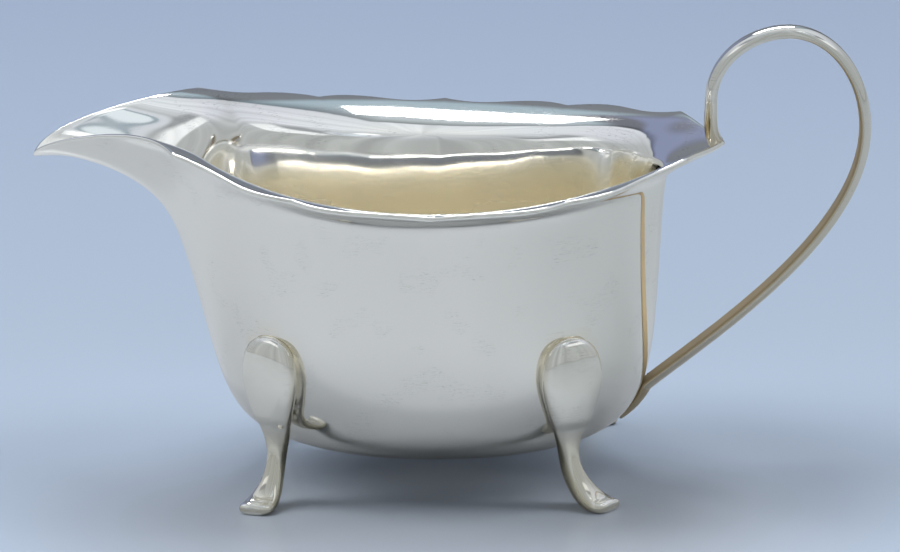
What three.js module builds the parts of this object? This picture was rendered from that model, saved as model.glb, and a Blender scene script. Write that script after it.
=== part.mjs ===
// Silver creamer: an oval bowl raised from sheet with a pouring spout and a shaped, flaring rim,
// a looped wire handle and four cast legs. Millimetres, +Z up, standing on Z = 0.
// X runs along the jug, from the spout at -X to the handle at +X. Y = 0 is its plane of symmetry.
import * as THREE from "three";

// Sheet and joints
const sheet = 0.9;
const spoutTipSheet = 0.5;
const edgeRound = 0.35;
const solderGap = 0.3;

// Bowl, measured over the outside at its neck, where the wall turns out into the rim
const bowlLength = 79.4;
const bowlWidth = 53;
const baseHeight = 5.2;
const neckSideHeight = 46.9;
const neckRearHeight = 50.6;
const throatHeight = 38.5;
const throatCrest = 9;
const throatSharpness = 6;
const ovalSquareness = 2.15;

// Fullness of the bowl's section: how far the base runs out, and where the wall starts to climb
const rearBase = 1.0;
const frontBase = 0.9;
const rearWall = 0.94;
const frontWall = 0.815;
const rearWallRise = 1;
const frontWallRise = 3;

// Rim: heights of its top edge, and reaches past the neck
const rimWidth = 76.8;
const rimHeight = 54.4;
const spoutReach = 24.7;
const spoutTipHeight = 55.2;
const spoutArch = 4.2;
const spoutTipBluntness = 0.7;
const spoutTipBreadth = 7.5;
const spoutBreadth = 8.3;
const shoulderInset = 4.5;
const shoulderSetback = 0.5;
const shoulderHeight = 60.7;
const shoulderRun = 6;
const shoulderArch = 2.7;
const rearCornerReach = 3.3;
const rearCornerHalfWidth = 15.5;
const rearCornerHeight = 57.5;
const tongueReach = 9.9;
const tongueHeight = 56.5;
const tongueRootReach = 5.3;
const tongueRootHalfWidth = 10.9;
const tongueNoseReach = 7.6;
const tongueNoseHalfWidth = 6.5;
const frontFullness = 17.6;
const rearFullness = 22.6;

// Scallops cut into the rim between the spout's shoulder and the rear corner
const scallopLobes = 2;
const scallopDepth = 1.5;
const scallopHump = 0.27;
const scallopHollow = 0.72;

// Flare between neck and rim
const lipSlope = THREE.MathUtils.degToRad(4);
const spoutTipSlope = THREE.MathUtils.degToRad(-4);
const spoutCup = THREE.MathUtils.degToRad(32);
const tongueSlope = THREE.MathUtils.degToRad(27);
const lipReach = 5.5;
const spoutLipReach = 13;
const tongueLipReach = 3;
const neckRise = 1.8;
const throatRise = 11.8;

// Handle: wire, round on the outside of its bends and flat on the inside
const overallHeight = 75.8;
const loopHalfWidth = 12.7;
const loopRise = 11.6;
const loopFall = 16.6;
const loopSetback = 0.7;
const wireHalfWidth = 2;
const wireHalfThickness = 1.0;
const rootHalfThickness = 1.35;
const rootHalfWidth = 1.2;
const backHalfThickness = 0.96;
const tailHalfThickness = 0.6;
const tailHalfWidth = 1.7;
const rootInset = 1.0;
const sweepDrop = 18.2;
const sweepRun = 14;
const sweepAngle = THREE.MathUtils.degToRad(39);
const handleSeatHeight = 14.6;
const tailTipHeight = 9.3;

// Legs: a knee pad soldered to the wall, then a shank that bends out into a hoof. Reaches are
// measured outwards from the wall at knee height.
const frontLegAngle = THREE.MathUtils.degToRad(47.5);
const rearLegAngle = THREE.MathUtils.degToRad(52);
const frontLegSplay = THREE.MathUtils.degToRad(30);
const rearLegSplay = THREE.MathUtils.degToRad(63);
const hoofTurn = THREE.MathUtils.degToRad(15);
const kneeHeight = 21.5;
const kneeTopHeight = 28.7;
const kneeReach = 1.5;
const kneeTopReach = 0.7;
const kneeHalfWidth = 5.3;
const kneeHalfDepth = 1.7;
const chinHeight = 15;
const chinReach = 1;
const chinHalfWidth = 3.6;
const chinStep = 0.9;
const shankReach = 0.5;
const shankHalfWidth = 3.2;
const shankHalfDepth = 1.5;
const bendReach = -1.6;
const bendHeight = 7.6;
const ankleHalfWidth = 1.45;
const heelReach = 2.2;
const heelHeight = 1.25;
const hoofReach = 8;
const hoofHalfWidth = 2.75;
const hoofSwell = 0.4;
const toeRound = 1.5;
const soleHalfDepth = 1.25;
const soleHeight = 0.85;

// Fineness of the faceted surfaces
const wallSteps = 9;
const flareSteps = 9;
const spoutSteps = 8;
const sideSteps = 32;
const tongueSteps = 5;
const riserSteps = 6;
const loopSteps = 18;
const sweepSteps = 18;
const tailSteps = 5;
const wireSides = 12;
const kneeSteps = 5;
const padSteps = 3;
const shankSteps = 8;
const toeSteps = 2;
const legSides = 16;
const halvings = 40;
const angleNudge = 0.01;

// Squareness of a rounded section: 2 is an ellipse, more is squarer
const roundSection = 2;
const flatSection = 6;
const padSection = 2.4;
const kneeOutline = 2.6;

// Share of the wire's thickness that its rounded outside takes
const wireCrown = 0.7;

// Shares of the way from the chin to the hoof at which a leg is narrowest, and faces all of the
// way that its hoof points
const ankleShare = 0.36;
const turnShare = 0.62;

const mix = THREE.MathUtils.lerp;
const bowlHalfLength = bowlLength / 2;
const bowlHalfWidth = bowlWidth / 2;

// A closed skin over a row of rings with equal counts, closed by a point at either end.
function loft(rings, first, last) {
  const count = rings[0].length;
  const points = [first, ...rings.flat(), last];
  const faces = [];
  const at = (ring, k) => 1 + ring * count + (k % count);
  for (let k = 0; k < count; k++) {
    faces.push(0, at(0, k + 1), at(0, k));
    for (let ring = 0; ring < rings.length - 1; ring++) {
      faces.push(at(ring, k), at(ring, k + 1), at(ring + 1, k));
      faces.push(at(ring, k + 1), at(ring + 1, k + 1), at(ring + 1, k));
    }
    faces.push(points.length - 1, at(rings.length - 1, k), at(rings.length - 1, k + 1));
  }
  const geometry = new THREE.BufferGeometry().setFromPoints(points);
  geometry.setIndex(faces);
  geometry.computeVertexNormals();
  return geometry;
}

// Cosine or sine of a section that is an ellipse at a squareness of 2 and squarer above it.
function rounded(value, squareness) {
  return Math.sign(value) * Math.abs(value) ** (2 / squareness);
}

// Angle round the bowl's oval of a point in plan: 0 at the handle, PI at the spout.
function ovalAngle(point) {
  const power = ovalSquareness / 2;
  const x = Math.sign(point.x) * Math.abs(point.x / bowlHalfLength) ** power;
  const y = Math.sign(point.y) * Math.abs(point.y / bowlHalfWidth) ** power;
  return Math.atan2(y, x);
}

// Outside of the bowl at its neck. It climbs to the rear and to a crest before the spout, then
// drops into the throat.
function neckPoint(angle) {
  const rear = Math.max(0, Math.cos(angle));
  const front = Math.max(0, -Math.cos(angle));
  const drop = throatCrest + neckSideHeight - throatHeight;
  const rise = (neckRearHeight - neckSideHeight) * rear ** 2
    + throatCrest * front ** 2 - drop * front ** throatSharpness;
  const x = bowlHalfLength * rounded(Math.cos(angle), ovalSquareness);
  const y = bowlHalfWidth * rounded(Math.sin(angle), ovalSquareness);
  return new THREE.Vector3(x, y, neckSideHeight + rise);
}

// Outside of the wall from the middle of the base up to the neck.
function wallCurve(angle) {
  const neck = neckPoint(angle);
  const front = 0.5 - 0.5 * Math.cos(angle);
  const base = mix(rearBase, frontBase, front);
  const wall = mix(rearWall, frontWall, front);
  const foot = baseHeight + mix(rearWallRise, frontWallRise, front);
  return new THREE.CubicBezierCurve3(
    new THREE.Vector3(0, 0, baseHeight),
    new THREE.Vector3(neck.x * base, neck.y * base, baseHeight),
    new THREE.Vector3(neck.x * wall, neck.y * wall, foot),
    neck,
  );
}

// Point of the wall at a height, found by halving, with the wall's outward normal there.
function wallAt(angle, height) {
  const curve = wallCurve(angle);
  let low = 0;
  let high = 1;
  for (let step = 0; step < halvings; step++) {
    const middle = (low + high) / 2;
    if (curve.getPoint(middle).z < height) low = middle;
    else high = middle;
  }
  const upward = curve.getTangent(low);
  const ahead = wallCurve(angle + angleNudge).getPoint(low);
  const along = ahead.sub(wallCurve(angle - angleNudge).getPoint(low));
  const normal = along.cross(upward).normalize();
  return { point: curve.getPoint(low), normal };
}

// Half of the rim's top edge in three stretches, from the spout's tip to the tongue under the handle.
const spoutTip = new THREE.Vector3(-bowlHalfLength - spoutReach, 0, spoutTipHeight);
const shoulder = new THREE.Vector3(
  -bowlHalfLength + shoulderSetback, bowlHalfWidth - shoulderInset, shoulderHeight);
const rearCorner = new THREE.Vector3(
  bowlHalfLength + rearCornerReach, rearCornerHalfWidth, rearCornerHeight);
const tongueTip = new THREE.Vector3(bowlHalfLength + tongueReach, 0, tongueHeight);

const spoutEdge = new THREE.CubicBezierCurve3(
  spoutTip,
  new THREE.Vector3(spoutTip.x + spoutTipBluntness, spoutTipBreadth, spoutTip.z + spoutArch),
  new THREE.Vector3(shoulder.x - shoulderRun, spoutBreadth, shoulder.z + shoulderArch),
  shoulder,
);

// The side's two control points share a width and a height, so that its middle is as wide and as
// high as the rim is meant to be.
const sideWidth = (4 * rimWidth - shoulder.y - rearCorner.y) / 6;
const sideHeight = (8 * rimHeight - shoulder.z - rearCorner.z) / 6;
const sideEdge = new THREE.CubicBezierCurve3(
  shoulder,
  new THREE.Vector3(-frontFullness, sideWidth, sideHeight),
  new THREE.Vector3(rearFullness, sideWidth, sideHeight),
  rearCorner,
);

const tongueEdge = new THREE.CubicBezierCurve3(
  rearCorner,
  new THREE.Vector3(bowlHalfLength + tongueRootReach, tongueRootHalfWidth, rearCornerHeight),
  new THREE.Vector3(bowlHalfLength + tongueNoseReach, tongueNoseHalfWidth, tongueHeight),
  tongueTip,
);

// Depth of the cut, 0 on points and humps and 1 in hollows and notches. Each lobe runs from one
// point to the next, with a notch half way, a hump on both sides of it and a hollow by each point.
function scallopCut(share) {
  const lobe = (share * scallopLobes) % 1;
  const fromNotch = Math.abs(2 * lobe - 1);
  if (fromNotch < scallopHump) {
    return 1 - Math.sin(0.5 * Math.PI * fromNotch / scallopHump);
  }
  if (fromNotch < scallopHollow) {
    const fall = (fromNotch - scallopHump) / (scallopHollow - scallopHump);
    return 0.5 - 0.5 * Math.cos(Math.PI * fall);
  }
  return 1 - ((fromNotch - scallopHollow) / (1 - scallopHollow)) ** 2;
}

// Outside of the flare from the neck to the rim, which ends one lip's thickness under its top edge.
function flareCurve(edge, slopeThere, cut, lip) {
  const angle = ovalAngle(edge);
  const neck = neckPoint(angle);
  const front = Math.max(0, -Math.cos(angle)) ** throatSharpness;
  const rear = Math.max(0, Math.cos(angle)) ** throatSharpness;
  const outward = new THREE.Vector3(edge.x - neck.x, edge.y - neck.y, 0).normalize();
  const slope = slopeThere + tongueSlope * rear;
  const lipway = outward.clone().multiplyScalar(Math.cos(slope));
  lipway.z = Math.sin(slope);
  const rim = edge.clone().addScaledVector(lipway, -cut * scallopDepth);
  rim.z -= lip;
  const climb = wallCurve(angle).getTangent(1);
  const rise = mix(neckRise, throatRise, front);
  const reach = mix(mix(lipReach, spoutLipReach, front), tongueLipReach, rear);
  return new THREE.CubicBezierCurve3(
    neck,
    neck.clone().addScaledVector(climb, rise),
    rim.clone().addScaledVector(lipway, -reach),
    rim,
  );
}

// Flares round one half of the jug, from the tongue to the spout's tip, each with the thickness
// of its lip. The spout is cupped between its thin tip and its shoulder.
function halfFlares() {
  const flares = [];
  const add = (edge, slope, cut, lip) => flares.push({ curve: flareCurve(edge, slope, cut, lip), lip });
  for (let k = tongueSteps; k > 0; k--) {
    add(tongueEdge.getPoint(k / tongueSteps), lipSlope, 0, sheet);
  }
  for (let k = sideSteps; k > 0; k--) {
    const share = k / sideSteps;
    add(sideEdge.getPoint(share), lipSlope, scallopCut(share), sheet);
  }
  for (let k = spoutSteps; k >= 0; k--) {
    const share = k / spoutSteps;
    const slope = mix(spoutTipSlope, lipSlope, share) + spoutCup * Math.sin(Math.PI * share);
    add(spoutEdge.getPoint(share), slope, 0, mix(spoutTipSheet, sheet, share));
  }
  return flares;
}

// One upright section of the outside: the wall from near the middle of the base, then the flare.
function outerSection({ curve, lip }) {
  const wall = wallCurve(ovalAngle(curve.v0));
  const section = [];
  for (let step = 1; step < wallSteps; step++) {
    section.push({ point: wall.getPoint(step / wallSteps), thickness: sheet });
  }
  for (let step = 0; step <= flareSteps; step++) {
    const share = step / flareSteps;
    section.push({ point: curve.getPoint(share), thickness: mix(sheet, lip, share) });
  }
  return section;
}

// Outward normal of the flare at its lip, square to the section and to the way round the rim.
function lipNormal(rings, k) {
  const rim = rings.at(-1);
  const below = rings.at(-2);
  const around = below[(k + 1) % below.length].clone().sub(below.at(k - 1));
  return around.cross(rim[k].clone().sub(below[k])).normalize();
}

// The bowl, spout and rim are one sheet: the outside, the same surface moved in by the sheet's
// thickness, and a rounded edge between them.
function bodyGeometry() {
  const half = halfFlares().map(outerSection);
  const mirror = (section) => section.map(({ point, thickness }) => (
    { point: new THREE.Vector3(point.x, -point.y, point.z), thickness }));
  const sections = [...half, ...half.slice(1, -1).reverse().map(mirror)];
  const rings = half[0].map((_, level) => sections.map((section) => section[level].point));
  const basePole = new THREE.Vector3(0, 0, baseHeight);
  const innerPole = new THREE.Vector3(0, 0, baseHeight + sheet);
  const normals = loft(rings, basePole, innerPole).getAttribute("normal");
  const normalAt = (level, k) => (level === rings.length - 1
    ? lipNormal(rings, k)
    : new THREE.Vector3().fromBufferAttribute(normals, 1 + level * sections.length + k));
  const inner = rings.map((ring, level) => ring.map((point, k) => (
    point.clone().addScaledVector(normalAt(level, k), -sections[k][level].thickness))));
  const edge = rings.at(-1).map((point, k) => {
    const outward = point.clone().sub(rings.at(-2)[k]).normalize();
    return point.clone().lerp(inner.at(-1)[k], 0.5).addScaledVector(outward, edgeRound);
  });
  return loft([...rings, edge, ...inner.reverse()], basePole, innerPole);
}

// The two coordinates of a point of a section, across and outwards, in half widths and half depths.
function evenSection(angle) {
  return [rounded(Math.cos(angle), padSection), rounded(Math.sin(angle), padSection)];
}

function halfRoundSection(angle) {
  const widest = 1 - 2 * wireCrown;
  const cosine = Math.cos(angle);
  const sine = Math.sin(angle);
  if (sine > 0) return [rounded(cosine, roundSection), mix(widest, 1, sine)];
  return [rounded(cosine, flatSection), mix(widest, -1, -rounded(sine, flatSection))];
}

// Rings round a path. Each station has its point, its half width along its side, a level
// direction square to the path, and its half depth square to both.
function sweepRings(stations, sides, section) {
  return stations.map(({ point, width, depth, side }, k) => {
    const before = stations[Math.max(k - 1, 0)].point;
    const after = stations[Math.min(k + 1, stations.length - 1)].point;
    const within = after.clone().sub(before).normalize().cross(side);
    const ring = [];
    for (let turn = 0; turn < sides; turn++) {
      const [across, outwards] = section(2 * Math.PI * (turn + 0.5) / sides);
      ring.push(point.clone()
        .addScaledVector(side, width * across)
        .addScaledVector(within, depth * outwards));
    }
    return ring;
  });
}

// The handle stands on the tongue, rises and turns over in a loop that falls further than it rose,
// sweeps down to the back of the bowl and ends in a thin tail along its wall.
function handleStations() {
  const stations = [];
  const side = new THREE.Vector3(0, 1, 0);
  const add = (point, width, depth) => stations.push({ point, width, depth, side });

  const tongue = flareCurve(tongueTip, lipSlope, 0, sheet);
  const lipway = tongue.v3.clone().sub(tongue.v2).normalize();
  const upward = new THREE.Vector3(-lipway.z, 0, lipway.x);
  const root = tongue.v3.clone().addScaledVector(lipway, -rootInset);
  root.addScaledVector(upward, sheet + solderGap);

  const loopX = root.x - loopSetback + loopHalfWidth;
  const loopTop = overallHeight - wireHalfThickness;
  const loopStart = new THREE.Vector3(loopX - loopHalfWidth, 0, loopTop - loopRise);
  const loopEnd = new THREE.Vector3(loopX + loopHalfWidth, 0, loopTop - loopFall);
  const pull = (loopStart.z - root.z) / 3;
  const riser = new THREE.CubicBezierCurve3(
    root,
    root.clone().addScaledVector(upward, pull),
    new THREE.Vector3(loopStart.x, 0, loopStart.z - pull),
    loopStart,
  );
  for (let step = 0; step < riserSteps; step++) {
    const share = step / riserSteps;
    const taper = Math.sqrt(share);
    const width = mix(rootHalfWidth, wireHalfWidth, taper);
    add(riser.getPoint(share), width, mix(rootHalfThickness, wireHalfThickness, taper));
  }

  for (let step = 0; step < loopSteps; step++) {
    const angle = Math.PI * (1 - step / loopSteps);
    const height = Math.cos(angle) < 0 ? loopRise : loopFall;
    const x = loopX + loopHalfWidth * Math.cos(angle);
    const z = loopTop - height * (1 - Math.sin(angle));
    const depth = mix(wireHalfThickness, backHalfThickness, (step / loopSteps) ** 2);
    add(new THREE.Vector3(x, 0, z), wireHalfWidth, depth);
  }

  const seat = wallAt(0, handleSeatHeight);
  const seated = seat.point.addScaledVector(seat.normal, backHalfThickness + solderGap);
  const lean = new THREE.Vector3(Math.cos(sweepAngle), 0, Math.sin(sweepAngle));
  const sweep = new THREE.CubicBezierCurve3(
    loopEnd,
    new THREE.Vector3(loopEnd.x, 0, loopEnd.z - sweepDrop),
    seated.clone().addScaledVector(lean, sweepRun),
    seated,
  );
  for (let step = 0; step < sweepSteps; step++) {
    add(sweep.getPoint(step / sweepSteps), wireHalfWidth, backHalfThickness);
  }

  for (let step = 0; step <= tailSteps; step++) {
    const share = step / tailSteps;
    const { point, normal } = wallAt(0, mix(handleSeatHeight, tailTipHeight, share));
    const width = mix(wireHalfWidth, tailHalfWidth, share);
    const depth = mix(backHalfThickness, tailHalfThickness, share);
    add(point.addScaledVector(normal, depth + solderGap), width, depth);
  }
  return stations;
}

function handleGeometry() {
  const stations = handleStations();
  const rings = sweepRings(stations, wireSides, halfRoundSection);
  return loft(rings, stations[0].point, stations.at(-1).point);
}

// Moves a point that would lie in the bowl's wall out to the solder gap in front of it.
function clearOfWall(point) {
  if (point.z <= baseHeight) return point;
  const wall = wallAt(ovalAngle(point), point.z);
  const depth = point.clone().sub(wall.point).dot(wall.normal);
  return depth < solderGap ? point.addScaledVector(wall.normal, solderGap - depth) : point;
}

// Half width of a leg between its chin and its hoof: it narrows to the ankle and spreads again.
function shankWidth(share) {
  if (share < ankleShare) {
    return mix(shankHalfWidth, ankleHalfWidth, Math.sin(0.5 * Math.PI * share / ankleShare));
  }
  return mix(ankleHalfWidth, hoofHalfWidth, THREE.MathUtils.smoothstep(share, ankleShare, 1));
}

// A leg's rows from the rounded top of the knee pad down to its chin, then along the shank to the
// hoof and round its toe. Turn is 0 where a row lies square to the wall, and 1 where it faces the
// way the hoof points.
function legRows() {
  const rows = [];
  const add = (reach, height, width, depth, turn) => rows.push({ reach, height, width, depth, turn });
  for (let step = 1; step <= kneeSteps; step++) {
    const angle = 0.5 * Math.PI * step / kneeSteps;
    const share = rounded(Math.sin(angle), kneeOutline);
    const height = mix(kneeHeight, kneeTopHeight, rounded(Math.cos(angle), kneeOutline));
    add(mix(kneeTopReach, kneeReach, share), height, kneeHalfWidth * share, kneeHalfDepth * share, 0);
  }
  for (let step = 1; step <= padSteps; step++) {
    const share = step / padSteps;
    const taper = share ** 1.5;
    const width = mix(kneeHalfWidth, chinHalfWidth, taper);
    const height = mix(kneeHeight, chinHeight, share);
    add(mix(kneeReach, chinReach, taper), height, width, kneeHalfDepth, 0);
  }
  const path = new THREE.CubicBezierCurve(
    new THREE.Vector2(shankReach, chinHeight - chinStep),
    new THREE.Vector2(bendReach, bendHeight),
    new THREE.Vector2(heelReach, heelHeight),
    new THREE.Vector2(hoofReach - toeRound, soleHeight),
  );
  for (let step = 0; step <= shankSteps; step++) {
    const share = step / shankSteps;
    const centre = path.getPoint(share);
    const swell = hoofSwell * Math.sin(Math.PI * share);
    const depth = mix(shankHalfDepth, soleHalfDepth, share ** 4) + swell;
    const turn = THREE.MathUtils.smoothstep(share, 0, turnShare);
    add(centre.x, centre.y, shankWidth(share), depth, turn);
  }
  for (let step = 1; step <= toeSteps; step++) {
    const angle = 0.5 * Math.PI * step / (toeSteps + 1);
    const share = Math.sqrt(Math.cos(angle));
    const reach = hoofReach - toeRound * (1 - Math.sin(angle));
    add(reach, soleHeight, hoofHalfWidth * share, soleHalfDepth * share, 1);
  }
  return rows;
}

// end is 1 at the handle and -1 at the spout, hand is 1 on the right and -1 on the left. Splay is
// how far the hoof points away from straight across the jug, towards its end. The hoof's face is
// turned back a little from there.
function legGeometry(end, hand, angle, splay) {
  const knee = wallAt(Math.atan2(hand * Math.sin(angle), end * Math.cos(angle)), kneeHeight);
  const wallSplay = Math.atan2(end * knee.normal.x, hand * knee.normal.y);
  const placed = (reach, height, turn) => {
    const angleThere = mix(wallSplay, splay, turn);
    const outward = new THREE.Vector3(end * Math.sin(angleThere), hand * Math.cos(angleThere), 0);
    const point = knee.point.clone().addScaledVector(outward, reach).setZ(height);
    const facing = angleThere - hoofTurn * turn;
    return { point, side: new THREE.Vector3(-hand * Math.cos(facing), end * Math.sin(facing), 0) };
  };
  const stations = legRows().map(({ reach, height, width, depth, turn }) => (
    { ...placed(reach, height, turn), width, depth }));
  const settle = (point) => {
    clearOfWall(point);
    point.z = Math.max(point.z, 0);
    return point;
  };
  const rings = sweepRings(stations, legSides, evenSection);
  rings.flat().forEach(settle);
  const top = settle(placed(kneeTopReach, kneeTopHeight, 0).point);
  const toe = placed(hoofReach, soleHeight, 1).point;
  return loft(rings, top, toe);
}

const silver = { color: 0xc9cdd0, roughness: 0.12, metalness: 1 };
const warmSilver = { color: 0xcfc9b4, roughness: 0.15, metalness: 1 };

const creamer = new THREE.Group();

function addPiece(name, geometry, finish) {
  const mesh = new THREE.Mesh(geometry, new THREE.MeshStandardMaterial(finish));
  mesh.name = name;
  creamer.add(mesh);
}

addPiece("body", bodyGeometry(), silver);
addPiece("handle", handleGeometry(), warmSilver);
for (const [side, hand] of [["left", -1], ["right", 1]]) {
  addPiece(`leg_front_${side}`, legGeometry(-1, hand, frontLegAngle, frontLegSplay), silver);
  addPiece(`leg_rear_${side}`, legGeometry(1, hand, rearLegAngle, rearLegSplay), silver);
}

// The origin is under the middle of the whole jug.
const bounds = new THREE.Box3().setFromObject(creamer);
creamer.position.x = -(bounds.min.x + bounds.max.x) / 2;

export default creamer;
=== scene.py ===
import math

import bpy
import numpy as np
from mathutils import Matrix, Vector
from mathutils.kdtree import KDTree


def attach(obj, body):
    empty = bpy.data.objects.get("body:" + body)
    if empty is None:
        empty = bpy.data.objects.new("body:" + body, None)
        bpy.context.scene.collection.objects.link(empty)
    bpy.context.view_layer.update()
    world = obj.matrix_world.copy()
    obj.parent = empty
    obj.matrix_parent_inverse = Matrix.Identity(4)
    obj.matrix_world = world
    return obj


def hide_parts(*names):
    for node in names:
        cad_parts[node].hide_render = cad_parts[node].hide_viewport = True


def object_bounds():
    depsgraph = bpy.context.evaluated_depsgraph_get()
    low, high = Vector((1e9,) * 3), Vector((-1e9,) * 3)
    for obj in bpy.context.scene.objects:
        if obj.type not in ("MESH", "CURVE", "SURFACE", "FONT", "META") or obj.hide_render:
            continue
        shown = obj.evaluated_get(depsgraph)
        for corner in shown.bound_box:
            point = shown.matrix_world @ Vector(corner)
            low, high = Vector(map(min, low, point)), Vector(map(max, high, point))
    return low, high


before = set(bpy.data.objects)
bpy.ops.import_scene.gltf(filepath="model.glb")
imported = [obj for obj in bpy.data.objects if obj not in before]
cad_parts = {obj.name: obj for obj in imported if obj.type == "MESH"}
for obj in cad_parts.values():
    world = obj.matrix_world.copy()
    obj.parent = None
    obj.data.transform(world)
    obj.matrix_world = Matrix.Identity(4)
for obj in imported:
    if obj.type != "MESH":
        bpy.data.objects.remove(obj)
cad_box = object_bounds()

# Silver creamer on a pale, faintly glossy table top. Shapes are worked out in millimetres in the
# bowl's own frame, +Z up, with the spout at -X, and set against the CAD body at the end.
MM = 0.001

# Sheet
SHEET = 0.9
SPOUT_TIP_SHEET = 0.5
EDGE_ROUND = 0.35
SOLDER_GAP = 0.3

# Bowl
BOWL_HALF_LENGTH = 39.7
BOWL_HALF_WIDTH = 26.5
BASE_HEIGHT = 5.2
NECK_SIDE_HEIGHT = 48.4
NECK_REAR_HEIGHT = 50.6
THROAT_HEIGHT = 38.5
THROAT_CREST = 9.0
THROAT_SHARPNESS = 6
OVAL_SQUARENESS = 2.15

# Controls of the wall's section: shares of the way out to the neck, and heights over the base
REAR_BASE = 1.0
FRONT_BASE = 0.9
REAR_WALL = 0.94
FRONT_WALL = 0.815
REAR_WALL_RISE = 1.0
FRONT_WALL_RISE = 3.0

# Rim
RIM_WIDTH = 76.8
RIM_HEIGHT = 54.4
SPOUT_REACH = 24.7
SPOUT_TIP_HEIGHT = 55.2
SPOUT_ARCH = 4.2
SPOUT_TIP_BLUNTNESS = 0.7
SPOUT_TIP_BREADTH = 7.5
SPOUT_BREADTH = 8.3
SHOULDER_INSET = 4.5
SHOULDER_SETBACK = 0.5
SHOULDER_HEIGHT = 60.7
SHOULDER_RUN = 6.0
SHOULDER_ARCH = 2.7
REAR_CORNER_REACH = 3.3
REAR_CORNER_HALF_WIDTH = 15.5
REAR_CORNER_HEIGHT = 57.5
TONGUE_REACH = 9.9
TONGUE_HEIGHT = 56.5
TONGUE_ROOT_REACH = 5.3
TONGUE_ROOT_HALF_WIDTH = 10.9
TONGUE_NOSE_REACH = 7.6
TONGUE_NOSE_HALF_WIDTH = 6.5
FRONT_FULLNESS = 17.6
REAR_FULLNESS = 22.6
SCALLOP_LOBES = 2
SCALLOP_DEPTH = 1.5
SCALLOP_HUMP = 0.27
SCALLOP_HOLLOW = 0.72

# Flare
LIP_SLOPE = math.radians(4)
SPOUT_TIP_SLOPE = math.radians(-4)
SPOUT_CUP = math.radians(32)
TONGUE_SLOPE = math.radians(27)
LIP_REACH = 5.5
SPOUT_LIP_REACH = 13.0
TONGUE_LIP_REACH = 3.0
NECK_RISE = 1.8
THROAT_RISE = 11.8

# Handle
OVERALL_HEIGHT = 75.8
LOOP_HALF_WIDTH = 12.7
LOOP_RISE = 11.6
LOOP_FALL = 16.6
LOOP_SETBACK = 0.7
WIRE_HALF_WIDTH = 2.0
WIRE_HALF_THICKNESS = 1.0
ROOT_HALF_THICKNESS = 1.35
ROOT_HALF_WIDTH = 1.2
BACK_HALF_THICKNESS = 0.96
TAIL_HALF_THICKNESS = 0.6
TAIL_HALF_WIDTH = 1.7
ROOT_INSET = 1.0
SWEEP_DROP = 18.2
SWEEP_RUN = 14.0
SWEEP_ANGLE = math.radians(39)
HANDLE_SEAT_HEIGHT = 14.6
TAIL_TIP_HEIGHT = 9.3

# Legs
FRONT_LEG_ANGLE = math.radians(47.5)
REAR_LEG_ANGLE = math.radians(52)
FRONT_LEG_SPLAY = math.radians(30)
REAR_LEG_SPLAY = math.radians(63)
KNEE_HEIGHT = 21.5
KNEE_TOP_HEIGHT = 28.7
KNEE_REACH = 1.5
KNEE_TOP_REACH = 0.7
KNEE_HALF_WIDTH = 5.3
KNEE_HALF_DEPTH = 1.7
CHIN_HEIGHT = 15.0
CHIN_REACH = 1.0
CHIN_HALF_WIDTH = 3.6
CHIN_STEP = 0.9
SHANK_REACH = 0.5
SHANK_HALF_WIDTH = 3.2
SHANK_HALF_DEPTH = 1.5
BEND_REACH = -1.6
BEND_HEIGHT = 7.6
ANKLE_HALF_WIDTH = 1.45
HEEL_REACH = 2.2
HEEL_HEIGHT = 1.25
HOOF_REACH = 8.0
HOOF_HALF_WIDTH = 2.75
HOOF_SWELL = 0.4
TOE_ROUND = 1.5
SOLE_HALF_DEPTH = 1.25
SOLE_HEIGHT = 0.85
HOOF_TURN = math.radians(15)

# Places along the shank of the ankle and of the end of its turn, and powers of two tapers
ANKLE_SHARE = 0.36
TURN_SHARE = 0.62
PAD_TAPER = 1.5
SOLE_TAPER = 4

# Fineness of the meshes
WALL_STEPS = 40
FLARE_STEPS = 36
EDGE_STEPS = 5
TONGUE_STEPS = 26
SIDE_STEPS = 96
SPOUT_STEPS = 48
RISER_STEPS = 20
LOOP_STEPS = 72
SWEEP_STEPS = 90
TAIL_STEPS = 24
WIRE_SIDES = 24
KNEE_STEPS = 22
PAD_STEPS = 16
SHANK_STEPS = 48
TOE_STEPS = 10
LEG_SIDES = 48

# Rows that the neck's fillet reaches, and how often they are averaged
FILLET_ROWS = 7.0
FILLET_PASSES = 40

# Rings below the neck at which the gilding starts and is full
GILT_START = -3.0
GILT_FULL = 3.0

# Search for a height on the wall, step in its curve's parameter, and least height over the base
HALVINGS = 30
NUDGE = 0.002
JUST_ABOVE = 0.001

# Squareness of sections and outlines, 2 for an ellipse
ROUND_SECTION = 2.0
FLAT_SECTION = 6.0
PAD_SECTION = 2.4
KNEE_OUTLINE = 2.6

# Share of the wire's thickness that lies outside its widest line
WIRE_CROWN = 0.7


def mix(low, high, share):
    return low + (high - low) * share


def point(x, y, z):
    return np.array([x, y, z], float)


def unit(vectors):
    return vectors / np.linalg.norm(vectors, axis=-1, keepdims=True)


def smoothstep(value, low, high):
    share = np.clip((value - low) / (high - low), 0, 1)
    return share * share * (3 - 2 * share)


def round_angles(sides):
    return 2 * np.pi * (np.arange(sides) + 0.5) / sides


def rounded(value, squareness):
    """Cosine or sine of a section that is an ellipse at a squareness of 2 and squarer above it."""
    return np.sign(value) * np.abs(value) ** (2 / squareness)


def bezier(controls, share):
    """Points of a cubic Bezier curve, or of many curves at once where the controls are arrays."""
    a, b, c, d = controls
    t = np.asarray(share, float)[..., None]
    return (1 - t) ** 3 * a + 3 * (1 - t) ** 2 * t * b + 3 * (1 - t) * t**2 * c + t**3 * d


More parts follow.
